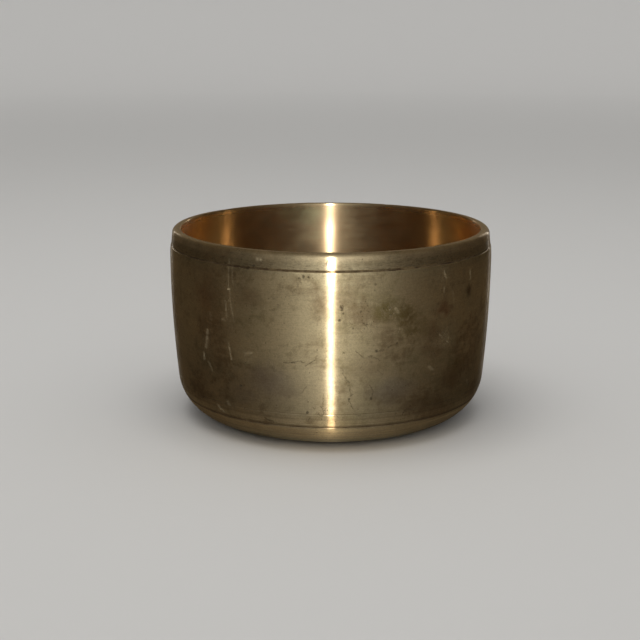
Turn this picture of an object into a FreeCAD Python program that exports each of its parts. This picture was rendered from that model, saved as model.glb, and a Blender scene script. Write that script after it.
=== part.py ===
import FreeCAD, Part
import math
import os
from Sketcher import Constraint

# A thick-walled singing bowl, cast in bell metal or brass and turned on a lathe.
#
# Frame: millimetres, +Z up along the axis of revolution. The origin is the centre of the flat
# base, so the bowl stands on the plane z = 0.
#
# The bowl is one solid of revolution. Its wall is widest just below the lip, draws in a little
# towards the foot and turns through a generous radius into the base. The lip is a band that leans
# in, set off from the wall by an engraved ring. Finer rings lie on the corner above the foot and
# on the underside.

# ---------------------------------------------------------------------------
# Driving dimensions: alias, millimetres, meaning
# ---------------------------------------------------------------------------
DIMENSIONS = [
    ("outer_radius", 75.0, "largest outside radius of the wall"),
    ("total_height", 88.0, "base plane to the top of the rim"),
    ("belly_height", 74.8, "height where the wall is widest"),
    ("wall_curve_radius", 588.0, "radius of the wall's slow curve below the belly, in section"),
    ("shoulder_radius", 50.0, "radius between the belly and the engraved ring, in section"),
    ("corner_radius", 20.6, "radius between wall and base, outside, in section"),
    ("lip_radius_low", 74.4, "outside radius of the lip band just above the engraved ring"),
    ("lip_radius_high", 73.65, "outside radius of the lip band at the rim, before rounding"),
    ("rim_inner_radius", 69.7, "radius of the mouth at the rim, before the bevel"),
    ("wall_thickness", 3.6, "wall thickness below the lip"),
    ("base_thickness", 4.2, "thickness of the flat base"),
    ("inner_shoulder_radius", 40.0, "radius where the inner wall turns in to the mouth, in section"),
    ("inner_corner_radius", 17.4, "radius between inner wall and inner floor, in section"),
    ("outer_lip_round", 2.2, "rounding of the outer edge of the rim"),
    ("inner_lip_bevel", 0.4, "bevel of the inner edge of the rim"),
    # Each ring is cut by a small circle centred on, or very near, the outside surface.
    ("engraved_ring_radius", 74.6, "radius of the centre line of the ring under the lip"),
    ("engraved_ring_height", 80.7, "height of that ring and of the lip band's lower edge"),
    ("engraved_ring_half_width", 0.45, "half width of that ring"),
    ("foot_ring_radius", 70.29, "outside radius of the corner at the lower foot ring"),
    ("foot_ring_height", 11.5, "height of the lower foot ring"),
    ("foot_ring_half_width", 0.22, "half width of that ring"),
    ("upper_foot_ring_radius", 72.24, "outside radius of the corner at the upper foot ring"),
    ("upper_foot_ring_height", 18.0, "height of the upper, finer foot ring"),
    ("upper_foot_ring_half_width", 0.14, "half width of that ring"),
    ("underside_ring_radius", 33.0, "radius of the ring on the underside"),
    ("underside_ring_half_width", 0.3, "half width of that ring"),
]
size = {alias: value for alias, value, meaning in DIMENSIONS}

EDGE_TOLERANCE = 1e-4    # for finding an edge by its radius and height
MIN_CUT_SHARE = 0.2      # least share of its expected volume that a ring must remove

# Sketcher's codes for the points of an element and for the sketch's own x axis and origin
START, END, CENTRE = 1, 2, 3
X_AXIS = -1
ORIGIN = (-1, 1)

doc = FreeCAD.newDocument("singing_bowl")


def fill_sheet():
    sheet = doc.addObject("Spreadsheet::Sheet", "dims")
    for row, (alias, value, meaning) in enumerate(DIMENSIONS, start=1):
        sheet.set(f"A{row}", alias)
        sheet.set(f"B{row}", repr(value))
        sheet.set(f"C{row}", meaning)
        sheet.setAlias(f"B{row}", alias)
    doc.recompute()


# ---------------------------------------------------------------------------
# Sketch helpers
# ---------------------------------------------------------------------------
def section_sketch(body, name):
    """A sketch on the XZ plane: its x is the radius, its y is the height."""
    plane = next(feature for feature in body.Origin.OriginFeatures
                 if getattr(feature, "Role", "") == "XZ_Plane")
    sketch = body.newObject("Sketcher::SketchObject", name)
    sketch.AttachmentSupport = [(plane, "")]
    sketch.MapMode = "FlatFace"
    return sketch


def circle(centre, radius):
    return Part.Circle(FreeCAD.Vector(*centre, 0), FreeCAD.Vector(0, 0, 1), radius)


def add_line(sketch, start, end):
    segment = Part.LineSegment(FreeCAD.Vector(*start, 0), FreeCAD.Vector(*end, 0))
    return sketch.addGeometry(segment, False)


def add_arc(sketch, centre, radius, start_angle, end_angle):
    arc = Part.ArcOfCircle(circle(centre, radius), start_angle, end_angle)
    return sketch.addGeometry(arc, False)


def bind(sketch, constraint, name, expression):
    """Adds a dimension, names it and ties it to an expression."""
    index = sketch.addConstraint(constraint)
    sketch.renameConstraint(index, name)
    sketch.setExpression("Constraints." + name, expression)


def bind_size(sketch, kind, target, alias, name=None):
    """Adds a dimension that equals one cell of the sheet."""
    bind(sketch, Constraint(kind, *target, size[alias]), name or alias, "dims." + alias)


def bind_radius(sketch, element, alias):
    bind_size(sketch, "Radius", (element,), alias)


def bind_x(sketch, element, point, alias):
    bind_size(sketch, "DistanceX", (*ORIGIN, element, point), alias)


def bind_y(sketch, element, point, alias, name=None):
    bind_size(sketch, "DistanceY", (*ORIGIN, element, point), alias, name)


# ---------------------------------------------------------------------------
# The bowl
# ---------------------------------------------------------------------------
def corner_start(wall_centre, wall_radius, corner_radius, level):
    """Centre of a corner that touches the wall curve from inside and the given level,
    and the angle at which corner and wall meet."""
    wall_x, wall_y = wall_centre
    corner_y = level + corner_radius
    corner_x = wall_x + math.sqrt((wall_radius - corner_radius) ** 2 - (wall_y - corner_y) ** 2)
    return (corner_x, corner_y), math.atan2(corner_y - wall_y, corner_x - wall_x)


def draw_bowl_section(body):
    """Half section, drawn at its solved place and then held by constraints."""
    outer_radius = size["outer_radius"]
    belly_height = size["belly_height"]
    wall_radius = size["wall_curve_radius"]
    inner_wall_radius = wall_radius - size["wall_thickness"]
    corner_radius = size["corner_radius"]
    inner_corner_radius = size["inner_corner_radius"]
    shoulder_radius = size["shoulder_radius"]
    inner_shoulder_radius = size["inner_shoulder_radius"]
    base_thickness = size["base_thickness"]
    step_height = size["engraved_ring_height"]

    wall_centre = (outer_radius - wall_radius, belly_height)
    corner_centre, corner_turn = corner_start(wall_centre, wall_radius, corner_radius, 0)
    inner_corner_centre, inner_corner_turn = corner_start(
        wall_centre, inner_wall_radius, inner_corner_radius, base_thickness)

    shoulder_x = outer_radius - shoulder_radius
    shoulder_turn = math.asin((step_height - belly_height) / shoulder_radius)
    shoulder_end = (shoulder_x + shoulder_radius * math.cos(shoulder_turn), step_height)

    lip_low = (size["lip_radius_low"], step_height)
    lip_high = (size["lip_radius_high"], size["total_height"])
    rim_inner = (size["rim_inner_radius"], size["total_height"])

    # The straight line from the mouth is tangent to the inner shoulder.
    inner_shoulder_x = outer_radius - size["wall_thickness"] - inner_shoulder_radius
    mouth_x = rim_inner[0] - inner_shoulder_x
    mouth_y = rim_inner[1] - belly_height
    mouth_turn = (math.atan2(mouth_y, mouth_x)
                  - math.acos(inner_shoulder_radius / math.hypot(mouth_x, mouth_y)))
    mouth_end = (inner_shoulder_x + inner_shoulder_radius * math.cos(mouth_turn),
                 belly_height + inner_shoulder_radius * math.sin(mouth_turn))

    # Outline from the axis along the base, up the outside, over the rim and down the inside
    sketch = section_sketch(body, "bowl_section")
    down = -math.pi / 2
    base = add_line(sketch, (0, 0), (corner_centre[0], 0))
    corner = add_arc(sketch, corner_centre, corner_radius, down, corner_turn)
    wall = add_arc(sketch, wall_centre, wall_radius, corner_turn, 0)
    shoulder = add_arc(sketch, (shoulder_x, belly_height), shoulder_radius, 0, shoulder_turn)
    step = add_line(sketch, shoulder_end, lip_low)
    lip = add_line(sketch, lip_low, lip_high)
    land = add_line(sketch, lip_high, rim_inner)
    mouth = add_line(sketch, rim_inner, mouth_end)
    inner_shoulder = add_arc(
        sketch, (inner_shoulder_x, belly_height), inner_shoulder_radius, 0, mouth_turn)
    inner_wall = add_arc(sketch, wall_centre, inner_wall_radius, inner_corner_turn, 0)
    inner_corner = add_arc(
        sketch, inner_corner_centre, inner_corner_radius, down, inner_corner_turn)
    floor = add_line(sketch, (inner_corner_centre[0], base_thickness), (0, base_thickness))
    axis = add_line(sketch, (0, base_thickness), (0, 0))

    sketch.addConstraint([
        Constraint("Coincident", base, START, *ORIGIN),
        Constraint("Horizontal", base),
        Constraint("Tangent", base, END, corner, START),
        Constraint("Tangent", corner, END, wall, START),
        Constraint("Tangent", wall, END, shoulder, START),
        Constraint("Horizontal", wall, CENTRE, wall, END),        # wall upright at the belly
        Constraint("Coincident", shoulder, END, step, START),
        Constraint("Horizontal", step),
        Constraint("Coincident", step, END, lip, START),
        Constraint("Coincident", lip, END, land, START),
        Constraint("Horizontal", land),
        Constraint("Coincident", land, END, mouth, START),
        Constraint("Tangent", mouth, END, inner_shoulder, END),
        Constraint("Tangent", inner_shoulder, START, inner_wall, END),
        Constraint("Coincident", inner_wall, CENTRE, wall, CENTRE),  # both wall curves share it
        Constraint("Tangent", inner_corner, END, inner_wall, START),
        Constraint("Tangent", floor, START, inner_corner, START),
        Constraint("Horizontal", floor),
        Constraint("Coincident", floor, END, axis, START),
        Constraint("Coincident", axis, END, base, START),
        Constraint("Vertical", axis),
    ])
    bind_x(sketch, wall, END, "outer_radius")
    bind_y(sketch, wall, END, "belly_height")
    bind_radius(sketch, wall, "wall_curve_radius")
    bind_radius(sketch, corner, "corner_radius")
    bind_radius(sketch, shoulder, "shoulder_radius")
    bind_y(sketch, step, START, "engraved_ring_height")
    bind_x(sketch, lip, START, "lip_radius_low")
    bind_x(sketch, lip, END, "lip_radius_high")
    bind_y(sketch, lip, END, "total_height")
    bind_x(sketch, land, END, "rim_inner_radius")
    bind_radius(sketch, inner_shoulder, "inner_shoulder_radius")
    bind(sketch, Constraint("Radius", inner_wall, inner_wall_radius),
         "inner_wall_curve_radius", "dims.wall_curve_radius - dims.wall_thickness")
    bind_y(sketch, inner_wall, END, "belly_height", name="inner_belly_height")
    bind_y(sketch, floor, START, "base_thickness")
    bind_radius(sketch, inner_corner, "inner_corner_radius")
    doc.recompute()
    return sketch


def spin(body, kind, name, sketch):
    """A full turn of the sketch about the bowl's axis."""
    feature = body.newObject(kind, name)
    feature.Profile = sketch
    feature.ReferenceAxis = (sketch, ["V_Axis"])
    feature.Angle = 360.0
    doc.recompute()
    return feature


def rim_edge(shape, radius):
    """Name of the circular edge of this radius at the top of the rim."""
    for number, edge in enumerate(shape.Edges, start=1):
        curve = edge.Curve
        if (isinstance(curve, Part.Circle)
                and abs(curve.Radius - radius) < EDGE_TOLERANCE
                and abs(curve.Center.z - size["total_height"]) < EDGE_TOLERANCE):
            return f"Edge{number}"
    raise RuntimeError(f"no rim edge of radius {radius:g}")


def dress_rim(body, kind, size_property, alias, base, edge_radius):
    """Rounds or bevels one edge of the rim; the feature is named after its dimension."""
    feature = body.newObject(kind, alias)
    feature.Base = (base, [rim_edge(base.Shape, edge_radius)])
    feature.setExpression(size_property, "dims." + alias)
    doc.recompute()
    return feature


def cut_ring(body, name):
    """Cuts a round-bottomed ring; without a height in the sheet it lies on the base plane."""
    radius = size[name + "_radius"]
    half_width = size[name + "_half_width"]
    sketch = section_sketch(body, name + "_section")
    profile = circle((radius, size.get(name + "_height", 0.0)), half_width)
    ring = sketch.addGeometry(profile, False)
    bind_radius(sketch, ring, name + "_half_width")
    bind_x(sketch, ring, CENTRE, name + "_radius")
    if name + "_height" in size:
        bind_y(sketch, ring, CENTRE, name + "_height")
    else:
        sketch.addConstraint(Constraint("PointOnObject", ring, CENTRE, X_AXIS))
    doc.recompute()

    volume_before = body.Shape.Volume
    spin(body, "PartDesign::Groove", name, sketch)
    # Half of the circle's torus should lie inside the metal.
    expected = math.pi * radius * math.pi * half_width ** 2
    if volume_before - body.Shape.Volume < MIN_CUT_SHARE * expected:
        raise RuntimeError(name + " cuts nothing")


def make_bowl():
    body = doc.addObject("PartDesign::Body", "bowl")
    body.Label = "bowl"
    turned = spin(body, "PartDesign::Revolution", "turned_bowl", draw_bowl_section(body))
    rounded = dress_rim(body, "PartDesign::Fillet", "Radius", "outer_lip_round",
                        turned, size["lip_radius_high"])
    dress_rim(body, "PartDesign::Chamfer", "Size", "inner_lip_bevel",
              rounded, size["rim_inner_radius"])
    for name in ("engraved_ring", "foot_ring", "upper_foot_ring", "underside_ring"):
        cut_ring(body, name)
    return body


fill_sheet()
bowl = make_bowl()
doc.recompute()

# ---------------------------------------------------------------------------
# Checks and export
# ---------------------------------------------------------------------------
for item in doc.Objects:
    if "Invalid" in item.State or "Error" in item.State:
        raise RuntimeError(f"{item.Name} failed: {item.State}")
if bowl.Shape.isNull() or not bowl.Shape.isValid():
    raise RuntimeError(bowl.Label + " has no valid shape")
if len(bowl.Shape.Solids) != 1:
    raise RuntimeError(bowl.Label + " is not one solid")

os.makedirs("parts", exist_ok=True)
bowl.Shape.exportStep(os.path.join("parts", bowl.Label + ".step"))
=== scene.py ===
"""A lathe-turned brass singing bowl, standing on a pale studio sweep.

The scene is in metres. The bowl's section, its marks and its shader lengths are in millimetres.
+Z is up, the origin is the centre of the base, and the front of the bowl faces -Y.
"""
import math

import bpy
import numpy as np
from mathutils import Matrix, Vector


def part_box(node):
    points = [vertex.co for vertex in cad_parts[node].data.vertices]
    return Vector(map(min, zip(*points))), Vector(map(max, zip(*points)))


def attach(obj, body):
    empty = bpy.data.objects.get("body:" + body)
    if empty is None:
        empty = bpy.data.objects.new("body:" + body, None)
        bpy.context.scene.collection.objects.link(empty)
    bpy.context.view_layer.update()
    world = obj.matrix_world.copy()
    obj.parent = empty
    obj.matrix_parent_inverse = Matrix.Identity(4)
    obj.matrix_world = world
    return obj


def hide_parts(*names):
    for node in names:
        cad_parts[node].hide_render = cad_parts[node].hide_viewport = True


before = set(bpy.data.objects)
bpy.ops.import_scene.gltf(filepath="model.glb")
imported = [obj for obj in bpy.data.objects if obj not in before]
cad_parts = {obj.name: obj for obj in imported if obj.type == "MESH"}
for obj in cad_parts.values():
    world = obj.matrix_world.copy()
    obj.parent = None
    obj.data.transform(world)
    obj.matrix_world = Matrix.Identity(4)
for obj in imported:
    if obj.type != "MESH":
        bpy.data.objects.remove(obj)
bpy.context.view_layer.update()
bowl_low, bowl_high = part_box("bowl")

# ---------------------------------------------------------------------------------------------
# Driving dimensions, in mm
# ---------------------------------------------------------------------------------------------
RADIUS = (bowl_high[0] - bowl_low[0]) * 500.0
HEIGHT = (bowl_high[2] - bowl_low[2]) * 1000.0
SCALE = RADIUS / 75.0              # the other sizes are given for a bowl of radius 75

BELLY_Z = 74.8 * SCALE             # height of the widest point
WALL_CURVE = 588.0 * SCALE         # radius of the long wall arc
SHOULDER = 50.0 * SCALE            # radius of the arc above the belly
CORNER = 20.6 * SCALE              # radius of the turn from base to wall
RING_Z = 80.7 * SCALE              # engraved ring under the lip
RING_HALF = 0.45 * SCALE
LIP_LOW = 74.4 * SCALE             # radius of the lip band at the ring
LIP_HIGH = 73.65 * SCALE           # radius of the lip band at the top
LIP_ROUND = 2.2 * SCALE            # rounding of the lip's outer edge
MOUTH = 69.7 * SCALE               # radius of the opening
BEVEL = 0.4 * SCALE                # bevel round the opening
WALL = 3.6 * SCALE                 # wall thickness
BASE = 4.2 * SCALE                 # base thickness
IN_SHOULDER = 40.0 * SCALE         # inside arcs
IN_CORNER = 17.4 * SCALE

COLUMNS = 312                      # vertices in each ring round the axis

WALL_CENTRE = RADIUS - WALL_CURVE
INNER_CURVE = WALL_CURVE - WALL
IN_SHOULDER_R = RADIUS - WALL - IN_SHOULDER


def corner_join(wall_curve, corner, centre_z):
    """Radius of a corner arc's centre, and the angle at which it meets the wall arc."""
    radius = WALL_CENTRE + math.sqrt((wall_curve - corner) ** 2 - (BELLY_Z - centre_z) ** 2)
    return radius, math.atan2(centre_z - BELLY_Z, radius - WALL_CENTRE)


BASE_R, OUT_JOIN = corner_join(WALL_CURVE, CORNER, CORNER)
FLOOR_R, IN_JOIN = corner_join(INNER_CURVE, IN_CORNER, BASE + IN_CORNER)
RING_R = RADIUS - SHOULDER + math.sqrt(SHOULDER ** 2 - (RING_Z - BELLY_Z) ** 2)
LIP_LEAN = math.atan2(LIP_HIGH - LIP_LOW, HEIGHT - RING_Z)

# Turned rings: zone, axis it is placed on (0 radius, 1 height), place / SCALE, half width, depth
TURNED_RINGS = [
    ("under", 0, 33.0, 0.34, 0.28),
    ("under", 0, 21.5, 0.26, 0.10),
    ("under", 0, 43.0, 0.28, 0.10),
    ("corner", 1, 5.8, 0.30, 0.03),
    ("corner", 1, 7.4, 0.34, 0.05),
    ("corner", 1, 11.5, 0.34, 0.20),
    ("corner", 1, 13.4, 0.26, 0.05),
    ("corner", 1, 17.95, 0.24, 0.07),
    ("incorner", 1, 12.0, 0.5, 0.06),
    ("floor", 0, 30.0, 0.4, 0.09),
]
TURNED_STATIONS = (-1.35, -0.95, -0.55, 0.0, 0.55, 0.95, 1.35)     # in half widths
FULL_GRIME_DEPTH = 0.2             # a turned ring this deep holds all the grime it can

# Engraved ring, a round-bottomed cut: height in half widths, depth / SCALE
ENGRAVED_CUT = [
    (-1.30, 0.0), (-1.08, 0.012), (-0.98, 0.06), (-0.86, 0.20), (-0.62, 0.36), (-0.3, 0.44),
    (0.0, 0.47),
    (0.3, 0.44), (0.62, 0.36), (0.86, 0.20), (0.98, 0.06), (1.08, 0.012), (1.30, 0.0),
]


# ---------------------------------------------------------------------------------------------
# Section: (radius, height) points from the underside's centre, up the outside, over the lip
# and down to the floor's centre
# ---------------------------------------------------------------------------------------------
def arc(centre, radius, start, end, step):
    count = max(2, int(round(abs(end - start) * radius / step)))
    angles = [start + (end - start) * i / count for i in range(count + 1)]
    return [(centre[0] + radius * math.cos(a), centre[1] + radius * math.sin(a)) for a in angles]


def line(start, end, step):
    count = max(1, int(round(math.dist(start, end) / step)))
    return [
        (start[0] + (end[0] - start[0]) * i / count, start[1] + (end[1] - start[1]) * i / count)
        for i in range(count + 1)
    ]


def plain_outline():
    """The section before any ring is cut, as (zone, points) parts."""
    lip_start = (LIP_LOW + math.tan(LIP_LEAN) * RING_HALF, RING_Z + RING_HALF)
    trim = LIP_ROUND * math.tan((math.pi / 2 + LIP_LEAN) / 2)
    round_start = (LIP_HIGH - math.sin(LIP_LEAN) * trim, HEIGHT - math.cos(LIP_LEAN) * trim)
    round_end = (LIP_HIGH - trim, HEIGHT)
    round_centre = (round_end[0], HEIGHT - LIP_ROUND)
    round_angle = math.atan2(round_start[1] - round_centre[1], round_start[0] - round_centre[0])

    # the line down from the mouth runs tangent to the inner shoulder arc
    to_mouth = (MOUTH - IN_SHOULDER_R, HEIGHT - BELLY_Z)
    mouth_angle = math.atan2(to_mouth[1], to_mouth[0])
    mouth_angle -= math.acos(IN_SHOULDER / math.hypot(*to_mouth))
    bevel_top = (MOUTH + BEVEL, HEIGHT)
    bevel_low = (MOUTH + BEVEL * math.sin(mouth_angle), HEIGHT - BEVEL * math.cos(mouth_angle))
    tangent = (IN_SHOULDER_R + IN_SHOULDER * math.cos(mouth_angle),
               BELLY_Z + IN_SHOULDER * math.sin(mouth_angle))

    wall_centre = (WALL_CENTRE, BELLY_Z)
    shoulder_end = math.asin((RING_Z - BELLY_Z) / SHOULDER)
    down = -math.pi / 2
    return [
        ("under", line((0.0, 0.0), (BASE_R, 0.0), step=2.1)),
        ("corner", arc((BASE_R, CORNER), CORNER, down, OUT_JOIN, step=0.80)),
        ("wall", arc(wall_centre, WALL_CURVE, OUT_JOIN, 0.0, step=1.12)),
        ("wall", arc((RADIUS - SHOULDER, BELLY_Z), SHOULDER, 0.0, shoulder_end, step=0.9)),
        ("lip", line(lip_start, round_start, step=0.85)),
        ("edge", arc(round_centre, LIP_ROUND, round_angle, math.pi / 2, step=0.30)),
        ("land", line(round_end, bevel_top, step=0.6)),
        ("bevel", line(bevel_top, bevel_low, step=0.3)),
        ("inwall", line(bevel_low, tangent, step=1.25)),
        ("inwall", arc((IN_SHOULDER_R, BELLY_Z), IN_SHOULDER, mouth_angle, 0.0, step=1.25)),
        ("inwall", arc(wall_centre, INNER_CURVE, 0.0, IN_JOIN, step=1.35)),
        ("incorner", arc((FLOOR_R, BASE + IN_CORNER), IN_CORNER, IN_JOIN, down, step=1.25)),
        ("floor", line((FLOOR_R, BASE), (0.0, BASE), step=2.2)),
    ]


def joined(parts):
    """Section (points, cavity, zones) from the parts, dropping the points they share."""
    points, zones = [], []
    for zone, part in parts:
        for point in part:
            if points and math.dist(points[-1], point) < 1e-6:
                continue
            points.append(point)
            zones.append(zone)
    return np.array(points), np.zeros(len(points)), zones


def splice(section, before, after, new_points, new_cavity, new_zone):
    """Put new points between two stations that stay."""
    points, cavity, zones = section
    return (
        np.concatenate([points[: before + 1], np.array(new_points), points[after:]]),
        np.concatenate([cavity[: before + 1], np.array(new_cavity), cavity[after:]]),
        zones[: before + 1] + [new_zone] * len(new_points) + zones[after:],
    )


def cut_turned_ring(section, ring_zone, axis, place, half_width, depth):
    points, _, zones = section
    place *= SCALE
    hit = next(
        i for i in range(len(points) - 1)
        if zones[i] == ring_zone and (points[i][axis] - place) * (points[i + 1][axis] - place) <= 0
    )
    start, end = points[hit], points[hit + 1]
    centre = start + (end - start) * ((place - start[axis]) / (end[axis] - start[axis]))
    along = (end - start) / np.linalg.norm(end - start)
    outward = np.array([along[1], -along[0]])
    shares = [max(0.0, 1 - u * u) ** 0.8 for u in TURNED_STATIONS]
    fresh = [
        centre + along * u * half_width - outward * depth * share
        for u, share in zip(TURNED_STATIONS, shares)
    ]
    # old points within the ring's stretch are dropped
    reach = 1.5 * half_width
    offsets = [np.dot(point - centre, along) for point in points]
    before = max(i for i in range(hit + 1) if offsets[i] < -reach)
    after = min(i for i in range(hit + 1, len(points)) if offsets[i] > reach)
    grime = np.array(shares) * min(1.0, depth / FULL_GRIME_DEPTH)
    return splice(section, before, after, fresh, grime, ring_zone)


def cut_engraved_ring(section):
    """The ring between wall and lip, whose floor bridges the small step between them."""
    points, _, zones = section
    middle = (RING_R + LIP_LOW) / 2
    fresh, grime = [], []
    for u, depth in ENGRAVED_CUT:
        z = RING_Z + u * RING_HALF
        radius = RING_R if u < 0 else LIP_LOW + math.tan(LIP_LEAN) * (z - RING_Z)
        if abs(u) <= 0.9:
            radius = middle + (radius - middle) * abs(u) ** 2
        fresh.append((radius - depth * SCALE, z))
        grime.append(max(0.0, 1 - (abs(u) / 1.02) ** 4))
    reach = 1.5 * RING_HALF
    stations = range(len(points))
    before = max(i for i in stations if zones[i] == "wall" and points[i][1] <= RING_Z - reach)
    after = min(i for i in stations if zones[i] == "lip" and points[i][1] >= RING_Z + reach)
    return splice(section, before, after, fresh, grime, "ring")


section = joined(plain_outline())
for ring in TURNED_RINGS:
    section = cut_turned_ring(section, *ring)
points, cut_share, zones = cut_engraved_ring(section)

STATIONS = len(points)
LAST = STATIONS - 1
along_mm = np.concatenate([[0.0], np.cumsum(np.hypot(*np.diff(points, axis=0).T))])
BASE_END = max(i for i in range(STATIONS) if zones[i] == "under")
MOUTH_END = max(i for i in range(STATIONS) if zones[i] == "bevel")
FLOOR_START = min(i for i in range(STATIONS) if zones[i] == "floor")


def in_zones(*names):
    return np.array([zone in names for zone in zones], float)


# ---------------------------------------------------------------------------------------------
# Turned body, with the small untruth of a hand-finished casting
# ---------------------------------------------------------------------------------------------
# Shallow dents, given one by one: degrees from +X, height / SCALE, radius, depth
DENTS = [
    (-97.0, 52.0, 2.3, 0.030),
    (-84.5, 57.0, 1.9, 0.035),
    (-62.0, 41.0, 3.2, 0.030),
    (-120.0, 30.0, 3.0, 0.028),
]
angle = np.linspace(-math.pi, math.pi, COLUMNS, endpoint=False)


def angle_from(degrees):
    return (angle - math.radians(degrees) + math.pi) % (2 * math.pi) - math.pi


def outward_shift():
    """How far each vertex moves along the section's normal: slow wander, dents and nicks."""
    rng = np.random.default_rng(508)
    radius, z = points[:, :1], points[:, 1:]
    outside = in_zones("corner", "wall", "ring", "lip", "edge")
    inside = in_zones("inwall", "incorner", "floor")

    wander = np.zeros((STATIONS, COLUMNS))
    for _ in range(26):
        lobes = int(rng.integers(2, 15))
        pace = rng.uniform(0.02, 0.16)
        size = 0.030 / (1 + 0.35 * lobes)
        wander += (
            size * np.sin(lobes * angle + rng.uniform(0, 6.28))
            * np.sin(pace * along_mm[:, None] + rng.uniform(0, 6.28))
        )
    fade = np.clip(radius / (14.0 * SCALE), 0, 1) * np.clip(radius / RADIUS, 0, 1)
    shift = wander * (outside + 0.8 * inside)[:, None] * fade

    random_dents = [
        (rng.uniform(-180, 180), rng.uniform(10, 78), rng.uniform(1.6, 4.4),
         rng.uniform(0.012, 0.045))
        for _ in range(34)
    ]
    dentable = (outside > 0)[:, None] & (z > 2)
    for degrees, dent_z, dent_radius, depth in DENTS + random_dents:
        square = (angle_from(degrees) * radius) ** 2 + (z - dent_z * SCALE) ** 2
        shift -= np.where(dentable, depth * np.exp(-square / (dent_radius * 0.6) ** 2), 0)

    # nicks along the outer edge of the lip
    near_edge = np.exp(-(((z - (HEIGHT - 0.9)) / 1.1) ** 2))
    near_edge = near_edge * in_zones("lip", "edge", "land")[:, None]
    for _ in range(22):
        degrees = rng.uniform(-180, 180)
        width = rng.uniform(0.9, 2.2)
        depth = rng.uniform(0.03, 0.12)
        shift -= near_edge * depth * np.exp(-((angle_from(degrees) * RADIUS / width) ** 2))
    return shift


def body_vertices():
    """A pole, a ring of vertices for each station between, and a pole; in metres."""
    tangents = np.gradient(points, axis=0)
    tangents /= np.linalg.norm(tangents, axis=1)[:, None] + 1e-12
    shift = outward_shift()
    radius = points[:, :1] + shift * tangents[:, 1:]
    z = np.maximum(points[:, 1:] - shift * tangents[:, :1], 0.0)
    grid = np.stack([radius * np.cos(angle), radius * np.sin(angle), z], -1) / 1000.0
    poles = [(0.0, 0.0, float(grid[i, 0, 2])) for i in (0, LAST)]
    return [poles[0], *map(tuple, grid[1:-1].reshape(-1, 3)), poles[1]]


# UV layout, in mm on a square sheet: two strips for the outside, two for the inside, two discs
SHEET = 400.0
GAP = 2.2
STRIP_WIDTH = math.pi * RADIUS
INSIDE_NARROWING = 0.96
OUTSIDE_LENGTH = along_mm[MOUTH_END] - along_mm[BASE_END]
INSIDE_LENGTH = along_mm[FLOOR_START] - along_mm[MOUTH_END]
# disc centres, clear of the strips and of each other
DISC_X = GAP * 3 + STRIP_WIDTH + 4 + BASE_R + 10
DISC_Y = {"under": GAP + BASE_R + 4, "floor": 3 * GAP + 3 * BASE_R + 22}


def island_of(station):
    """Island of the faces between this station and the next."""
    if station < BASE_END:
        return "under"
    if station >= FLOOR_START:
        return "floor"
    return "outside" if station < MOUTH_END else "inside"


def uv_at(island, half, station, column):
    """UV of a corner. The column runs to COLUMNS; half is 0 or 1, the strip it is on."""
    across = (column - half * (COLUMNS // 2)) / (COLUMNS / 2) * STRIP_WIDTH
    if island == "outside":
        x = GAP + across
        y = GAP + half * (OUTSIDE_LENGTH + GAP) + (along_mm[station] - along_mm[BASE_END])
    elif island == "inside":
        x = GAP + across * INSIDE_NARROWING
        y = GAP + 2 * (OUTSIDE_LENGTH + GAP) + half * (INSIDE_LENGTH + GAP)
        y += along_mm[FLOOR_START] - along_mm[station]
    else:
        turn = -math.pi + 2 * math.pi * column / COLUMNS
        x = DISC_X + points[station][0] * math.cos(turn)
        y = DISC_Y[island] + points[station][0] * math.sin(turn)
    return x / SHEET, y / SHEET


def vertex_at(station, column):
    if station == 0:
        return 0
    if station == LAST:
        return 1 + (STATIONS - 2) * COLUMNS
    return 1 + (station - 1) * COLUMNS + column % COLUMNS


def edge_wear_at(zone, z):
    if zone == "lip":
        return math.exp(-((z - (HEIGHT - LIP_ROUND)) / 1.2) ** 2)
    if zone == "inwall":
        return 0.8 * math.exp(-((z - HEIGHT) / 1.5) ** 2)
    return {"edge": 1.0, "bevel": 1.0, "land": 0.45}.get(zone, 0.0)


def build_body():
    faces, uvs = [], []
    for i in range(LAST):
        island = island_of(i)
        for j in range(COLUMNS):
            half = 0 if j < COLUMNS // 2 else 1
            if i == 0:
                corners = [(0, j), (1, j + 1), (1, j)]
            elif i == LAST - 1:
                corners = [(LAST, j), (i, j), (i, j + 1)]
            else:
                corners = [(i, j), (i, j + 1), (i + 1, j + 1), (i + 1, j)]
            faces.append([vertex_at(*corner) for corner in corners])
            uvs.extend(uv_at(island, half, *corner) for corner in corners)

    mesh = bpy.data.meshes.new("bowl_turned")
    mesh.from_pydata(body_vertices(), [], faces)
    mesh.validate()
    layer = mesh.uv_layers.new(name="OFBake")
    layer.data.foreach_set("uv", np.array(uvs, dtype=np.float32).reshape(-1))
    mesh.polygons.foreach_set("use_smooth", np.ones(len(mesh.polygons), dtype=bool))

    attributes = {
        "turn_mm": along_mm,
        "cavity": cut_share,
        "inside": np.clip((along_mm - along_mm[MOUTH_END]) / 3.0 + 0.5, 0, 1),
        "edge_wear": np.array([edge_wear_at(zone, p[1]) for zone, p in zip(zones, points)]),
        "underside": in_zones("under"),
    }
    for name, rows in attributes.items():
        values = np.concatenate([rows[:1], np.repeat(rows[1:-1], COLUMNS), rows[-1:]])
        attribute = mesh.attributes.new(name, "FLOAT", "POINT")
        attribute.data.foreach_set("value", values.astype(np.float32))

    body = bpy.data.objects.new("singing_bowl", mesh)
    bpy.context.scene.collection.objects.link(body)
    return body


bowl = build_body()


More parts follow.
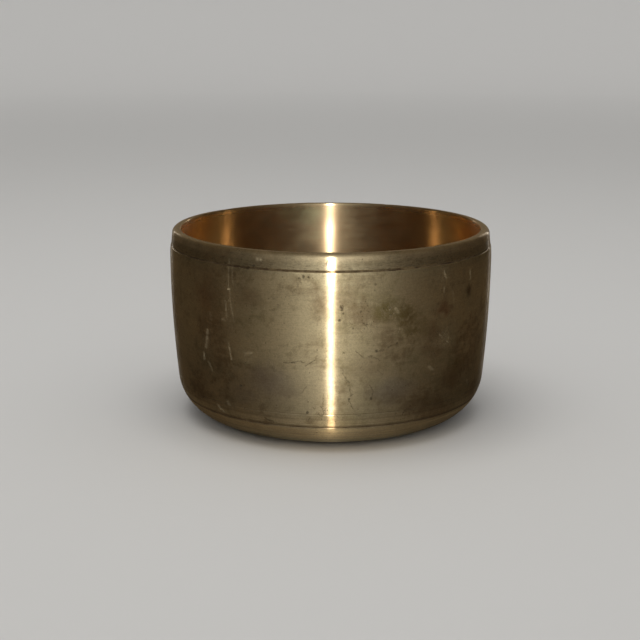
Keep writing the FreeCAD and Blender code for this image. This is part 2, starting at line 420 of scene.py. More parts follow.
# ---------------------------------------------------------------------------------------------
# Shader helpers
# ---------------------------------------------------------------------------------------------
class Wire:
    """A node's output. Arithmetic on it adds maths nodes to its tree."""

    def __init__(self, tree, socket):
        self.tree = tree
        self.socket = socket

    def __add__(self, other):
        return maths("ADD", self, other)

    def __radd__(self, other):
        return maths("ADD", other, self)

    def __sub__(self, other):
        return maths("SUBTRACT", self, other)

    def __rsub__(self, other):
        return maths("SUBTRACT", other, self)

    def __mul__(self, other):
        return maths("MULTIPLY", self, other)

    def __truediv__(self, other):
        return maths("DIVIDE", self, other)

    def __abs__(self):
        return maths("ABSOLUTE", self)


def plug(socket, value):
    if isinstance(value, Wire):
        value.tree.links.new(value.socket, socket)
    else:
        socket.default_value = value


def emit(tree, kind, output=0, inputs=None, **props):
    """Add a node with its properties and inputs, and give back one of its outputs."""
    node = tree.nodes.new(kind)
    for name, value in props.items():
        setattr(node, name, value)
    for key, value in (inputs or {}).items():
        plug(node.inputs[key], value)
    return Wire(tree, node.outputs[output])


def tree_of(*values):
    return next(value.tree for value in values if isinstance(value, Wire))


def maths(operation, a, b=0.0, c=0.0):
    inputs = {0: a, 1: b, 2: c}
    return emit(tree_of(a, b), "ShaderNodeMath", inputs=inputs, operation=operation)


def maximum(a, b):
    return maths("MAXIMUM", a, b)


def clamp01(value):
    """Two nodes, which keeps a long material within the renderer's limits."""
    return maths("MINIMUM", maximum(value, 0.0), 1.0)


def vector_maths(operation, a, *others, scale=None):
    inputs = dict(enumerate((a, *others)))
    if scale is not None:
        inputs["Scale"] = scale
    output = "Value" if operation in ("DOT_PRODUCT", "LENGTH", "DISTANCE") else "Vector"
    return emit(a.tree, "ShaderNodeVectorMath", output, inputs, operation=operation)


def combine(x, y, z):
    return emit(tree_of(x, y, z), "ShaderNodeCombineXYZ", inputs={0: x, 1: y, 2: z})


def separate(vector):
    node = vector.tree.nodes.new("ShaderNodeSeparateXYZ")
    plug(node.inputs[0], vector)
    return [Wire(vector.tree, socket) for socket in node.outputs]


def ramp(value, *, start, end, low=0.0, high=1.0, shape="SMOOTHSTEP", clamp=True):
    """Low where the value is at start, high where it is at end."""
    inputs = {"Value": value, "From Min": start, "From Max": end, "To Min": low, "To Max": high}
    return emit(value.tree, "ShaderNodeMapRange", "Result", inputs,
                interpolation_type=shape, clamp=clamp)


def noise(vector, *, scale, detail, roughness=0.5, lacunarity=2.0, distortion=0.0, output="Fac"):
    inputs = {"Vector": vector, "Scale": scale, "Detail": detail, "Roughness": roughness,
              "Lacunarity": lacunarity, "Distortion": distortion}
    return emit(vector.tree, "ShaderNodeTexNoise", output, inputs, noise_dimensions="3D")


def cell_distance(vector, scale):
    inputs = {"Vector": vector, "Scale": scale, "Randomness": 1.0}
    return emit(vector.tree, "ShaderNodeTexVoronoi", "Distance", inputs, feature="F1")


def mix(amount, under, over):
    """Colour: under where the amount is 0, over where it is 1."""
    under, over = ((*c, 1.0) if isinstance(c, tuple) else c for c in (under, over))
    inputs = {"Factor": amount, 6: under, 7: over}
    return emit(amount.tree, "ShaderNodeMix", 2, inputs, data_type="RGBA", clamp_factor=True)


# ---------------------------------------------------------------------------------------------
# Marks on the outside wall. Places are (mm round the wall from the front, height), both / SCALE;
# positive is towards +X. Half widths are in mm.
# ---------------------------------------------------------------------------------------------
# Lines: place of one end, place of the other, half width, strength
SCRATCHES = [
    (-46.9, 83.2, -46.9, 70.9, 0.26, 0.50), (-47.4, 70.3, -45.9, 70.6, 0.32, 0.85),
    (-46.3, 69.9, -46.0, 64.5, 0.26, 0.55), (-45.8, 63.9, -44.7, 57.0, 0.25, 0.45),
    (-48.9, 65.2, -48.3, 57.6, 0.32, 0.62), (-51.0, 56.7, -49.2, 56.8, 0.50, 0.50),
    (-61.0, 49.9, -62.8, 42.2, 0.70, 0.75), (-64.8, 38.9, -64.8, 36.3, 0.60, 0.90),
    (-61.8, 35.5, -59.5, 31.8, 0.40, 0.70), (-48.1, 46.4, -46.8, 39.3, 0.35, 0.70),
    (-58.4, 58.2, -58.2, 55.4, 0.50, 0.45), (-38.8, 43.1, -36.2, 43.6, 0.40, 0.50),
    (-45.1, 82.1, -44.5, 73.2, 0.25, 0.40), (-32.6, 84.7, -31.2, 84.5, 0.60, 0.60),
    (-57.6, 15.8, -55.3, 13.8, 0.60, 0.70), (-50.8, 19.1, -50.3, 17.8, 0.60, 0.60),
    (52.0, 77.4, 53.6, 74.6, 0.50, 0.60), (70.5, 75.6, 71.2, 71.5, 0.50, 0.60),
    (52.5, 70.8, 52.4, 68.7, 0.40, 0.50), (57.7, 68.3, 59.0, 63.3, 0.35, 0.40),
    (45.3, 36.2, 47.7, 34.5, 0.50, 0.50), (74.2, 24.4, 75.7, 22.6, 0.50, 0.60),
    (27.3, 64.1, 28.8, 62.2, 0.45, 0.50), (29.4, 55.2, 31.4, 53.3, 0.40, 0.40),
    (88.1, 72.1, 89.1, 69.6, 0.50, 0.60),
]
STAINS = [
    (-45.0, 80.9, -36.0, 80.6, 0.34, 0.85), (-36.0, 80.6, -27.5, 80.8, 0.30, 0.80),
    (-35.5, 81.9, -33.5, 81.2, 0.35, 0.70), (-20.5, 80.6, -14.5, 80.8, 0.26, 0.55),
    (24.5, 80.8, 29.5, 80.7, 0.34, 0.95), (-21.0, 41.0, -11.9, 41.8, 0.16, 0.50),
    (-17.6, 41.3, -16.1, 41.4, 0.28, 0.75), (-11.6, 39.9, -6.8, 43.1, 0.20, 0.55),
    (-6.8, 43.1, -2.0, 44.4, 0.14, 0.30), (-10.7, 30.8, -13.5, 27.9, 0.20, 0.40),
    (-31.1, 14.7, -27.4, 13.0, 0.25, 0.75), (-27.4, 13.0, -22.4, 12.2, 0.18, 0.35),
    (-9.5, 16.4, -10.7, 14.8, 0.25, 0.50), (-3.6, 28.0, -3.9, 22.9, 0.20, 0.35),
    (-5.0, 21.8, -2.8, 18.7, 0.22, 0.45), (-2.3, 21.4, -4.5, 17.2, 0.22, 0.45),
    (-5.9, 19.5, -4.1, 15.8, 0.20, 0.40), (-13.0, 76.9, -16.7, 70.9, 0.25, 0.22),
    (10.0, 46.4, 13.8, 43.4, 0.20, 0.50), (13.8, 43.4, 17.5, 43.8, 0.20, 0.50),
    (17.5, 43.8, 21.0, 42.1, 0.20, 0.45), (19.2, 46.1, 22.4, 46.4, 0.30, 0.60),
    (24.3, 47.4, 28.3, 48.9, 0.22, 0.50), (4.1, 39.2, 5.2, 35.9, 0.20, 0.40),
    (5.2, 35.9, 7.4, 32.5, 0.20, 0.50), (7.4, 32.5, 8.4, 26.3, 0.20, 0.50),
    (7.7, 24.5, 9.6, 20.4, 0.20, 0.50), (16.9, 30.9, 18.1, 28.1, 0.20, 0.45),
    (18.1, 28.1, 17.6, 24.9, 0.25, 0.50), (13.2, 40.6, 12.3, 38.4, 0.18, 0.35),
    (19.5, 37.5, 22.3, 35.5, 0.18, 0.30), (33.2, 16.0, 33.6, 17.7, 0.25, 0.60),
    (33.6, 17.7, 37.5, 17.7, 0.22, 0.50), (9.7, 18.1, 12.9, 17.4, 0.22, 0.40),
    (1.2, 17.5, 3.0, 17.0, 0.22, 0.50), (4.8, 15.8, 5.7, 17.5, 0.22, 0.45),
    (-2.2, 83.9, -1.9, 85.2, 0.30, 0.70), (13.5, 58.7, 14.9, 57.8, 0.35, 0.60),
    (4.0, 66.1, 4.2, 64.8, 0.42, 0.90),
]
# Dark spots: place, half width, strength
SPOTS = [
    (-13.8, 77.7, 0.55, 0.60), (-11.9, 78.6, 0.60, 0.70), (-9.8, 78.3, 0.50, 0.60),
    (-42.4, 28.1, 0.55, 0.90), (-10.8, 18.9, 0.60, 0.90), (4.6, 63.1, 0.40, 0.60),
    (3.1, 60.1, 0.55, 0.80), (9.0, 56.5, 0.45, 0.50), (12.1, 63.7, 0.50, 0.50),
    (5.0, 45.9, 0.45, 0.50), (18.2, 75.1, 0.50, 0.50), (17.9, 72.5, 0.40, 0.40),
    (25.0, 64.5, 0.50, 0.50), (25.3, 61.5, 0.50, 0.50), (35.4, 52.0, 0.50, 0.50),
    (19.0, 46.1, 0.65, 0.80), (28.3, 48.9, 0.50, 0.60), (7.6, 25.1, 0.60, 0.70),
    (17.3, 24.9, 0.60, 0.70), (-34.4, 81.6, 0.70, 0.80), (-37.2, 80.5, 0.60, 0.70),
    (-24.9, 68.8, 0.70, 0.30), (29.6, 16.8, 0.50, 0.40),
]
# Soft patches: place, half width round the wall, half height, strength
PATCHES = {
    "clean": [
        (-31.0, 30.0, 14.0, 7.0, 0.50), (38.0, 26.0, 10.0, 4.0, 0.60),
        (-20.6, 62.9, 9.0, 3.0, 0.70), (-9.9, 56.5, 5.0, 6.0, 0.60),
        (-38.9, 46.2, 6.0, 4.0, 0.60), (-46.0, 48.0, 3.0, 5.0, 0.40),
        (52.0, 74.0, 4.0, 5.0, 0.50), (67.4, 55.5, 4.0, 6.0, 0.55),
        (67.0, 44.0, 4.0, 4.0, 0.45), (25.5, 48.1, 7.0, 3.0, 0.45),
        (43.6, 37.0, 5.0, 2.5, 0.50), (-20.6, 24.7, 8.0, 3.0, 0.50),
        (-16.0, 61.0, 11.0, 11.0, 0.75), (-22.0, 47.0, 7.0, 4.0, 0.50),
    ],
    "brown": [
        (45.7, 45.7, 4.0, 3.0, 0.45), (60.1, 28.0, 7.0, 5.0, 0.65),
        (15.9, 38.6, 9.0, 4.0, 0.35), (-36.7, 67.6, 6.0, 4.0, 0.45),
        (-31.0, 33.7, 6.0, 4.0, 0.40), (-52.6, 76.9, 4.0, 2.0, 0.45),
        (-58.0, 56.0, 11.0, 22.0, 0.42), (-56.0, 54.6, 7.0, 1.9, 0.70),
        (-37.6, 69.2, 4.8, 2.9, 0.40), (46.5, 51.4, 5.6, 3.8, 0.60),
        (49.4, 42.8, 4.7, 2.9, 0.45), (-19.1, 28.0, 3.9, 1.9, 0.25),
    ],
    "grey": [
        (-28.0, 31.0, 10.0, 7.0, 0.50), (28.0, 28.0, 11.0, 5.0, 0.45),
        (-40.0, 24.0, 8.0, 4.0, 0.35),
    ],
    "red": [(52.0, 61.2, 3.6, 3.0, 0.95), (-61.3, 66.9, 5.5, 5.8, 0.50)],
    "olive": [
        (23.8, 63.6, 5.0, 4.5, 0.85), (31.6, 61.1, 6.0, 5.0, 0.85),
        (35.5, 55.5, 6.5, 5.0, 0.70), (63.8, 33.8, 5.0, 3.8, 0.40),
    ],
    "dark": [(70.3, 66.3, 2.1, 2.4, 0.90)],
    "scrawl": [
        (-2.0, 18.5, 7.5, 4.5, 1.25), (13.0, 60.0, 8.0, 8.0, 0.80), (4.0, 30.0, 6.0, 6.0, 0.40),
    ],
    "scuffed": [
        (26.5, 62.5, 4.5, 4.0, 0.70), (30.0, 54.5, 4.0, 3.0, 0.95), (53.5, 48.5, 5.5, 4.0, 1.25),
        (-62.0, 44.0, 3.0, 8.0, 0.55), (-47.0, 62.0, 2.6, 12.0, 0.60),
        (-38.0, 42.5, 4.0, 2.0, 0.60), (52.0, 76.0, 3.5, 4.0, 0.45),
    ],
}

# Colours of the metal and what lies on it, and a painted shade for the lip band
CLEAN = (0.750, 0.612, 0.335)
TARNISHED = (0.404, 0.320, 0.156)
BROWN = (0.300, 0.200, 0.095)
MOTTLED = (0.255, 0.192, 0.082)
GREY = (0.450, 0.376, 0.265)
RED = (0.330, 0.175, 0.085)
OLIVE = (0.268, 0.208, 0.068)
DARK = (0.070, 0.047, 0.024)
INNER = (0.880, 0.705, 0.385)
INNER_DULL = (0.480, 0.382, 0.212)
FOOT_LINE = (0.20, 0.145, 0.075)
FOOT_BRIGHT = (0.80, 0.62, 0.32)
# painted shade on the lip band
LIP_PAINTED_SHADE = (0.300, 0.240, 0.130)
LIP_MARK = (0.120, 0.088, 0.045)
WORN = (0.76, 0.60, 0.33)
STAIN = (0.075, 0.048, 0.024)
SPOT = (0.04, 0.026, 0.015)
SCRATCH = (0.92, 0.78, 0.50)
GRIME = (0.080, 0.046, 0.022)
BURNISHED = (0.87, 0.510, 0.225)

# ---------------------------------------------------------------------------------------------
# Worn brass: coordinates and masks
# ---------------------------------------------------------------------------------------------
brass = bpy.data.materials.new("turned_brass")
brass.use_nodes = True
brass_tree = brass.node_tree
brass_tree.nodes.clear()

object_place = emit(brass_tree, "ShaderNodeTexCoord", "Object")
place = vector_maths("SCALE", object_place, scale=1000.0)        # in mm
x, y, z = separate(place)
from_axis = maximum(maths("SQRT", x * x + y * y), 0.5)
unit_x = x / from_axis
unit_y = y / from_axis
turn_mm, cavity, inside, edge_wear, underside = (
    emit(brass_tree, "ShaderNodeAttribute", "Fac", attribute_name=name)
    for name in ("turn_mm", "cavity", "inside", "edge_wear", "underside")
)
wall_place = combine(maths("ARCTAN2", x, y * -1.0) * RADIUS, z, 0.0)


def lathe_noise(*, across, along, detail, roughness):
    """Marks that run round the axis: slow change round it, quick change along the section."""
    coords = combine(unit_x * across, unit_y * across, turn_mm * along)
    return noise(coords, scale=1.0, detail=detail, roughness=roughness)


def shaken(*, amount, scale):
    """The wall coordinates with a small wander, so that a stroke is not ruler-straight."""
    colour = noise(place, scale=scale, detail=2.0, output="Color")
    offset = vector_maths("SUBTRACT", colour, (0.5, 0.5, 0.5))
    offset = vector_maths("MULTIPLY", offset, (2 * amount, 2 * amount, 0.0))
    return vector_maths("ADD", wall_place, offset)


wall_fine = shaken(amount=0.55, scale=1.1)       # for scratches
wall_loose = shaken(amount=1.1, scale=0.55)      # for stains and drips
wall_soft = shaken(amount=5.0, scale=0.16)       # for patches


def stroke(coords, start_u, start_v, end_u, end_v, half, strength):
    """A soft line, by the distance to its nearest point."""
    start = Vector((start_u * SCALE, start_v * SCALE, 0.0))
    span = Vector(((end_u - start_u) * SCALE, (end_v - start_v) * SCALE, 0.0))
    offset = vector_maths("SUBTRACT", coords, tuple(start))
    share = vector_maths("DOT_PRODUCT", offset, tuple(span / span.length_squared))
    share = clamp01(share * 1.0)
    nearest = vector_maths("MULTIPLY_ADD", combine(share, share, 0.0), tuple(-span), offset)
    away = vector_maths("LENGTH", nearest)
    return ramp(away, start=half * 2.2, end=half * 0.45, high=strength)


def spot(coords, u, v, half, strength):
    away = vector_maths("DISTANCE", coords, (u * SCALE, v * SCALE, 0.0))
    return ramp(away, start=half * 1.5, end=half * 0.45, high=strength)


def patch(coords, u, v, half_u, half_v, strength):
    offset = vector_maths("SUBTRACT", coords, (u * SCALE, v * SCALE, 0.0))
    offset = vector_maths("MULTIPLY", offset, (1.0 / half_u, 1.0 / half_v, 0.0))
    return ramp(vector_maths("LENGTH", offset), start=1.7, end=0.15, high=strength)


def strongest(make, coords, rows):
    """The strongest of a set of marks. Each is folded in as soon as it is made."""
    result = make(coords, *rows[0])
    for row in rows[1:]:
        result = maximum(result, make(coords, *row))
    return result


on_wall = (1.0 - inside) * (1.0 - underside)

# turning lines at three widths
lines_fine = lathe_noise(across=3.0, along=2.6, detail=2.0, roughness=0.6)
lines_mid = lathe_noise(across=1.6, along=0.85, detail=2.0, roughness=0.55)
lines_wide = lathe_noise(across=1.2, along=0.16, detail=3.0, roughness=0.5)
# rubbed streaks: long, faint, broken
streaks = lathe_noise(across=6.0, along=0.42, detail=3.0, roughness=0.62)
# burnished and dull lines side by side, finer than the eye separates
burnish = lathe_noise(across=12.0, along=7.0, detail=0.0, roughness=0.5)

# ---------------------------------------------------------------------------------------------
# Worn brass: tarnish and colour
# ---------------------------------------------------------------------------------------------
cloud_big = noise(place, scale=0.024, detail=3.0, distortion=0.3)
cloud_mid = noise(place, scale=0.075, detail=4.0, roughness=0.55, lacunarity=2.1, distortion=0.5)
cloud_small = noise(place, scale=0.36, detail=4.0, roughness=0.6, distortion=0.2)
hue_place = vector_maths("ADD", place, (310.0, -120.0, 55.0))    # away from the other clouds
hue = noise(hue_place, scale=0.042, detail=3.0)
grain = (noise(place, scale=1.35, detail=3.0, roughness=0.7) * 0.6
         + noise(place, scale=3.1, detail=1.0) * 0.4)

tarnish = (cloud_big * 0.75 + cloud_mid * 0.50 + cloud_small * 0.22
           + streaks * 0.38 + lines_wide * 0.20)
tarnish = clamp01(ramp(tarnish, start=0.87, end=1.19, shape="LINEAR", clamp=False))
clean_patches = strongest(patch, wall_soft, PATCHES["clean"])
tarnish = tarnish * (1.0 - clean_patches * on_wall)

brown_patches, grey_patches, red_patches, olive_patches = (
    strongest(patch, wall_soft, PATCHES[name]) for name in ("brown", "grey", "red", "olive")
)
dark_patches = strongest(patch, wall_loose, PATCHES["dark"])

colour = mix(tarnish * 0.85, CLEAN, TARNISHED)
brown = ramp(hue * 0.8 + cloud_small * 0.25, start=0.49, end=0.66, high=0.60)
brown = maximum(brown * ramp(tarnish, start=0.15, end=0.7), brown_patches * on_wall)
colour = mix(brown, colour, BROWN)
mottle = ramp(cloud_small * 0.6 + cloud_mid * 0.4, start=0.50, end=0.66, high=0.30)
colour = mix(mottle, colour, MOTTLED)
colour = mix(grey_patches * on_wall, colour, GREY)
colour = mix(red_patches * on_wall * 0.7, colour, RED)
olive = olive_patches * on_wall * ramp(
    noise(place, scale=0.42, detail=3.0, roughness=0.6), start=0.32, end=0.54, low=0.40)
colour = mix(olive, colour, OLIVE)
colour = mix(dark_patches * on_wall * 0.8, colour, DARK)

inner_cloud = ramp(
    cloud_big * 0.55
    + noise(place, scale=0.05, detail=2.0, roughness=0.45, distortion=0.2) * 0.75,
    start=0.52, end=0.86)
inner_colour = mix(inner_cloud * 0.85, INNER, INNER_DULL)
colour = mix(inside, colour, inner_colour)

# round the foot: two dull ring lines and, below them, a band that is still bright
foot_line = (ramp(abs(z - 11.9 * SCALE), start=1.25, end=0.35)
             * ramp(cloud_mid, start=0.30, end=0.60, low=0.55, high=0.95))
foot_line = maximum(foot_line, ramp(abs(z - 15.6 * SCALE), start=0.7, end=0.2) * 0.35)
foot_band = (ramp(z, start=10.9 * SCALE, end=10.3 * SCALE)
             * ramp(z, start=3.5 * SCALE, end=5.5 * SCALE) * on_wall)
colour = mix(foot_line * (on_wall * 0.62), colour, FOOT_LINE)
foot_band = foot_band * ramp(lines_mid, start=0.34, end=0.56, low=0.35, high=0.95)
colour = mix(foot_band, colour, FOOT_BRIGHT)


def above_ring():
    return ramp(z, start=RING_Z, end=RING_Z + 0.4)


# painted shade: the lip band is painted a little darker than the wall, against the extra light its
# inward lean catches; short marks lie on it
colour = mix(above_ring() * (on_wall * 0.42), colour, LIP_PAINTED_SHADE)
lip_noise = lathe_noise(across=34.0, along=2.4, detail=3.0, roughness=0.72)
lip_marks = ramp(lip_noise, start=0.50, end=0.66) * above_ring() * on_wall
colour = mix(lip_marks * 0.45, colour, LIP_MARK)
# bare metal where the lip is handled
worn = edge_wear * ramp(cloud_mid, start=0.30, end=0.60, low=0.25, high=0.75)
colour = mix(worn, colour, WORN)

# ---------------------------------------------------------------------------------------------
# Worn brass: pits, stains and scratches
# ---------------------------------------------------------------------------------------------
# dark specks: a thin scatter everywhere, thicker in some places
pit_zone = ramp(noise(place, scale=0.05, detail=3.0, roughness=0.6), start=0.46, end=0.66)
pits = (ramp(cell_distance(place, scale=0.46), start=0.17, end=0.07)
        * (pit_zone * ramp(cloud_small, start=0.42, end=0.58)))
pits = maximum(pits, ramp(cell_distance(place, scale=0.17), start=0.075, end=0.03) * 0.8)
pits = pits * (1.0 - inside * 0.8)

break_up = ramp(noise(place, scale=1.1, detail=2.0, roughness=0.6),
                start=0.36, end=0.56, low=0.35)
stains = strongest(stroke, wall_loose, STAINS)
# fine wandering dark marks, within the scrawl patches
wander = abs(noise(wall_place, scale=0.55, detail=1.0, roughness=0.45) - 0.5)
scrawl_patches = strongest(patch, wall_soft, PATCHES["scrawl"])
stains = maximum(stains, ramp(wander, start=0.020, end=0.005) * (scrawl_patches * 0.55))
stains = stains * break_up * on_wall
spots = strongest(spot, wall_fine, SPOTS) * on_wall


def hair_scratches(*, tilt, layer, across, along, start, end):
    """Hair scratches leaning by the tilt (radians); the layer picks a slice of the noise."""
    cos_tilt, sin_tilt = math.cos(tilt), math.sin(tilt)
    coords = combine(
        vector_maths("DOT_PRODUCT", wall_fine, (cos_tilt, sin_tilt, 0.0)) * across,
        vector_maths("DOT_PRODUCT", wall_fine, (-sin_tilt, cos_tilt, 0.0)) * along,
        layer)
    return ramp(noise(coords, scale=1.0, detail=1.0), start=start, end=end)


hair_zone = ramp(noise(place, scale=0.045, detail=2.0), start=0.50, end=0.68)
hairs = hair_scratches(
    tilt=0.10, layer=3.0, across=2.2, along=0.16, start=0.71, end=0.80) * hair_zone
hairs = maximum(hairs, hair_scratches(
    tilt=-0.75, layer=9.0, across=2.6, along=0.22, start=0.73, end=0.82) * hair_zone)
hairs = hairs * 0.55 * on_wall

scratches = strongest(stroke, wall_fine, SCRATCHES)
chips = ramp(noise(wall_place, scale=1.15, detail=2.0, roughness=0.7), start=0.55, end=0.68)
scuff_net = ramp(abs(noise(wall_place, scale=0.85, detail=1.5) - 0.5), start=0.034, end=0.008)
chips = maximum(chips, scuff_net * 0.75)
scuffed_patches = strongest(patch, wall_soft, PATCHES["scuffed"])
scratches = maximum(scratches, chips * scuffed_patches)
scratches = scratches * ramp(
    noise(place, scale=0.95, detail=3.0, roughness=0.65), start=0.38, end=0.56, low=0.18) * on_wall
scratches = maximum(scratches, hairs)

colour = mix(pits * 0.7, colour, DARK)
colour = mix(stains * 0.90, colour, STAIN)
colour = mix(spots * 0.80, colour, SPOT)
colour = mix(scratches * 0.64, colour, SCRATCH)
grime_noise = lathe_noise(across=14.0, along=0.6, detail=3.0, roughness=0.65)
grime = cavity * ramp(grime_noise, start=0.32, end=0.66, low=0.45)
colour = mix(grime, colour, GRIME)

# ---------------------------------------------------------------------------------------------
# Worn brass: brightness, gloss and relief
# ---------------------------------------------------------------------------------------------
# painted shade: the wall's colour darkens towards the foot, standing in for the light that falls
# off there, and less so on the lowest turn
painted_foot_shade = (ramp(z, start=62.0 * SCALE, end=16.0 * SCALE) * on_wall
            * ramp(z, start=12.0 * SCALE, end=18.5 * SCALE, low=0.30))
light = 0.400 + lines_fine * 0.14 + lines_mid * 0.11
light = light + (grain * (1.0 - inside * 0.7) + inside * 0.35) * 0.95
light = light + (noise(place, scale=0.66, detail=3.0, roughness=0.7) - 0.5) * (on_wall * 0.36)
# painted shade: the colour darkens towards the foot
light = light * (1.0 - painted_foot_shade * 0.40)


def near(centre, *, outer, core, strength):
    """Strength within the core distance of a place, fading out to the outer distance."""
    return ramp(vector_maths("DISTANCE", place, centre), start=outer, end=core, high=strength)


# inside, the far wall has a painted sheen, a brighter place left of centre beside the highlight,
# and two darker places under it
painted_inner_sheen = near((-17.0, 68.0, 82.0), outer=40.0, core=4.0, strength=0.30)
dull_places = (near((-26.0, 66.0, 71.0), outer=12.0, core=2.0, strength=0.22)
               + near((28.0, 65.0, 72.0), outer=15.0, core=2.0, strength=0.18))
light = light * (1.0 + inside * (painted_inner_sheen - dull_places))
dull_colour = vector_maths("SCALE", colour, scale=light)
# the burnished metal itself is redder than its film of tarnish
bright_colour = mix(0.30 + inside * 0.46, dull_colour, BURNISHED)

# each point shines both ways: the cutter left burnished lines among dull ones
blemish = maximum(maximum(pits, stains), maximum(spots, grime))
marked = maximum(blemish, scratches)
dull = 0.56 + (tarnish - 0.5) * 0.22 + (burnish - 0.5) * 0.12
dull = dull + on_wall * ramp(z, start=62.0 * SCALE, end=34.0 * SCALE, high=0.09)
dull = dull - inside * 0.26
# dust lies in the bottom
dull = maximum(dull, inside * ramp(z, start=64.0 * SCALE, end=46.0 * SCALE))
dull = clamp01(maximum(dull, marked))
bright_roughness = 0.212 + inside * 0.063
dull_roughness = clamp01(0.60 + tarnish * 0.05 + blemish * 0.20)
dull_roughness = dull_roughness * (1.0 - scratches) + scratches * 0.80
dull_anisotropy = (0.40 + inside * 0.36) * (1.0 - marked)

# relief in mm; the turning lines are deeper towards the foot
relief = lines_fine * 0.005 + lines_mid * 0.005 + grain * (on_wall * 0.004)
foot_turning = on_wall * ramp(z, start=20.0 * SCALE, end=14.0 * SCALE, high=0.030)
relief = relief + lines_fine * foot_turning - pits * 0.014
bump = emit(brass_tree, "ShaderNodeBump",
            inputs={"Strength": 1.0, "Distance": 0.001, "Height": relief})
tangent = emit(brass_tree, "ShaderNodeTangent", direction_type="RADIAL", axis="Z")


def metal(base_colour, roughness, anisotropy):
    return emit(brass_tree, "ShaderNodeBsdfPrincipled", inputs={
        "Base Color": base_colour,
        "Metallic": 1.0,
        "Roughness": roughness,
        "Normal": bump,
        "Anisotropic": anisotropy,
        "Anisotropic Rotation": 0.25,
        "Tangent": tangent,
    })


# the dull metal comes first, for a viewer that can show only one of the two
both = emit(brass_tree, "ShaderNodeMixShader", inputs={
    0: 1.0 - dull,
    1: metal(dull_colour, dull_roughness, dull_anisotropy),
    2: metal(bright_colour, bright_roughness, anisotropy=1.0),
})
plug(brass_tree.nodes.new("ShaderNodeOutputMaterial").inputs["Surface"], both)
bowl.data.materials.append(brass)

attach(bowl, "root")
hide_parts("bowl")

# ---------------------------------------------------------------------------------------------
# Studio, in metres
# ---------------------------------------------------------------------------------------------
scene = bpy.context.scene
FLAT_R = 2.4                       # flat part of the sweep
CURVE_R = 1.6                      # its turn up into the wall
WALL_TOP = 2.2
SWEEP_COLUMNS = 96
SKY = (0.84, 0.84, 0.84)
SKY_IN_METAL = (0.95, 0.72, 0.46)
NEUTRAL = (0.96, 1.0, 1.06)


def sweep_mesh():
    """Flat round the bowl, turning up into a low wall all round, so no view shows an edge."""
    rings = [(0.6, 0.0), (1.2, 0.0), (1.8, 0.0), (FLAT_R, 0.0)]
    for degrees in range(6, 91, 6):
        turn = math.radians(degrees)
        rings.append((FLAT_R + CURVE_R * math.sin(turn), CURVE_R - CURVE_R * math.cos(turn)))
    rings.append((FLAT_R + CURVE_R, WALL_TOP))
    count = SWEEP_COLUMNS
    turns = [2 * math.pi * j / count for j in range(count)]
    verts = [(r * math.cos(turn), r * math.sin(turn), z) for r, z in rings for turn in turns]
    verts.append((0.0, 0.0, 0.0))
    faces = [(len(verts) - 1, j, (j + 1) % count) for j in range(count)]
    for k in range(len(rings) - 1):
        low, high = k * count, (k + 1) * count
        for j in range(count):
            after = (j + 1) % count
            faces.append((low + j, high + j, high + after, low + after))
    mesh = bpy.data.meshes.new("studio_floor_mesh")
    mesh.name = "studio_sweep"
    mesh.from_pydata(verts, [], faces)
    mesh.polygons.foreach_set("use_smooth", [True] * len(mesh.polygons))
    return mesh


def sweep_material():
    """Pale to the lens; in the metal, a dark room with a soft glow behind."""
    material = bpy.data.materials.new("studio_floor")
    material.use_nodes = True
    tree = material.node_tree
    surface = tree.nodes["Principled BSDF"]
    in_metal = emit(tree, "ShaderNodeLightPath", "Is Glossy Ray")
    floor_x, floor_y, _ = separate(emit(tree, "ShaderNodeTexCoord", "Object"))
    far = maximum(maths("SQRT", floor_x * floor_x + floor_y * floor_y), 0.01)
    facing = floor_y / far                     # 1 straight behind, -1 in front
    behind = ramp(facing, start=0.80, end=0.97) * ramp(far, start=0.35, end=1.30)
    beside = ramp(abs(facing), start=0.90, end=0.50) * ramp(far, start=0.10, end=0.50)
    room = mix(beside, (0.104, 0.070, 0.037), (0.058, 0.036, 0.016))
    room = mix(behind, room, (0.420, 0.350, 0.250))
    pale = mix(ramp(far, start=0.9, end=3.2), (0.64, 0.63, 0.61), (0.88, 0.87, 0.85))
    plug(surface.inputs["Base Color"], mix(in_metal, pale, room))
    roughness = ramp(in_metal, start=0.0, end=1.0, low=0.8, high=0.22)
    plug(surface.inputs["Roughness"], roughness)
    specular = ramp(in_metal, start=0.0, end=1.0, low=0.0, high=0.5)
    plug(surface.inputs["Specular IOR Level"], specular)
    return material


def build_world():
    """Even grey light; dimmer and warmer where the metal reflects it."""
    world = bpy.data.worlds.new("studio")
    scene.world = world
    world.use_nodes = True
    tree = world.node_tree
    background = tree.nodes["Background"]
    background.inputs["Color"].default_value = (*SKY, 1.0)   # for viewers that skip the links
    in_metal = emit(tree, "ShaderNodeLightPath", "Is Glossy Ray")
    strength = ramp(in_metal, start=0.0, end=1.0, low=0.66, high=0.072, shape="LINEAR")
    plug(background.inputs["Color"], mix(in_metal, SKY, SKY_IN_METAL))
    plug(background.inputs["Strength"], strength)


def area(name, location, target, *, width, height, watts, colour=(1, 1, 1)):
    data = bpy.data.lights.new(name, "AREA")
    data.shape = "RECTANGLE"
    data.size = width
    data.size_y = height
    data.energy = watts
    data.color = colour
    lamp = bpy.data.objects.new(name, data)
    lamp.location = location
    lamp.rotation_mode = "QUATERNION"
    aim = Vector(target) - Vector(location)
    lamp.rotation_quaternion = aim.to_track_quat("-Z", "Y")
    scene.collection.objects.link(lamp)
    return lamp


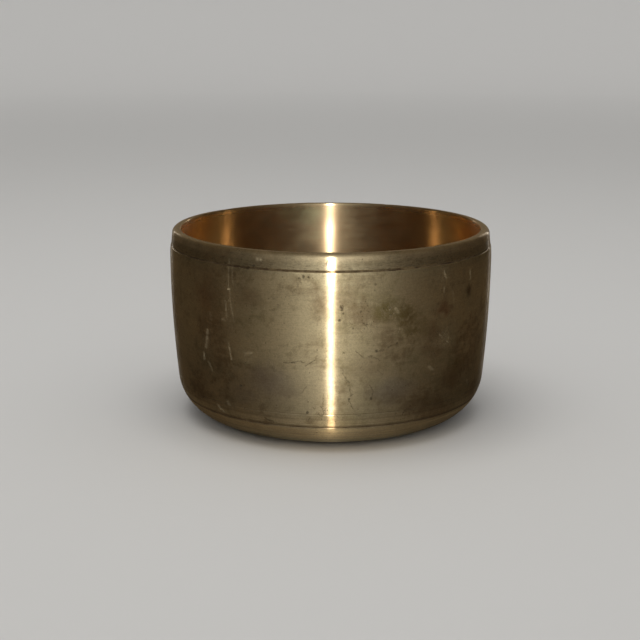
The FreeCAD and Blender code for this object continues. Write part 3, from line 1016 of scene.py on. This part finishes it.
def build_lights():
    key = area("front_strip", (0.0, -0.80, 0.245), (0, 0, 0.06),
               width=0.012, height=0.42, watts=4.9, colour=(0.93, 1.0, 1.17))
    key.visible_diffuse = False
    # the strip seen again in the table, which lights the turn of the foot
    low_strip = area("table_strip", (0.0, -0.150, 0.0006), (0, -0.150, 1.0),
                     width=0.004, height=0.150, watts=0.0105, colour=(1.0, 0.90, 0.80))
    low_strip.visible_diffuse = False
    low_strip.visible_camera = False
    # weak lights behind, well off the lens's own line; degrees from the front towards +X
    for name, degrees, watts in (("rear_right", 152.0, 0.20), ("rear_left", -155.0, 0.15)):
        turn = math.radians(degrees)
        location = (1.10 * math.sin(turn), -1.10 * math.cos(turn), 0.25)
        rear = area(name, location, (0, 0, 0.05),
                    width=0.030, height=0.40, watts=watts, colour=NEUTRAL)
        rear.visible_camera = False
        rear.visible_diffuse = False
    top = area("overhead", (-0.10, -0.15, 1.25), (0, -0.05, 0), width=0.9, height=0.9, watts=5.6)
    top.visible_glossy = False


def build_camera():
    """In front of the bowl and a little left of its axis, looking slightly down."""
    data = bpy.data.cameras.new("camera")
    camera = bpy.data.objects.new("camera", data)
    scene.collection.objects.link(camera)
    scene.camera = camera
    radius = RADIUS / 1000.0
    pitch = 0.2369
    data.sensor_width = 36.0
    data.lens = 72.8746875
    camera.location = (-0.06668982 * radius, -8.0 * radius, 2.4947 * radius)
    camera.rotation_euler = (math.pi / 2 - pitch, 0.0, 0.0)
    data.clip_start = 0.01
    data.clip_end = 50.0


floor = bpy.data.objects.new("studio_floor", sweep_mesh())
floor.location.z = bowl_low[2] - 0.0002        # just clear of the base
scene.collection.objects.link(floor)
floor.data.materials.append(sweep_material())
build_world()
build_lights()
build_camera()

scene.view_settings.view_transform = "Standard"
scene.view_settings.look = "None"
scene.cycles.max_bounces = 12
scene.cycles.glossy_bounces = 10
scene.cycles.diffuse_bounces = 4
scene.cycles.use_denoising = True
scene.cycles.sample_clamp_indirect = 6.0
scene.cycles.seed = 7
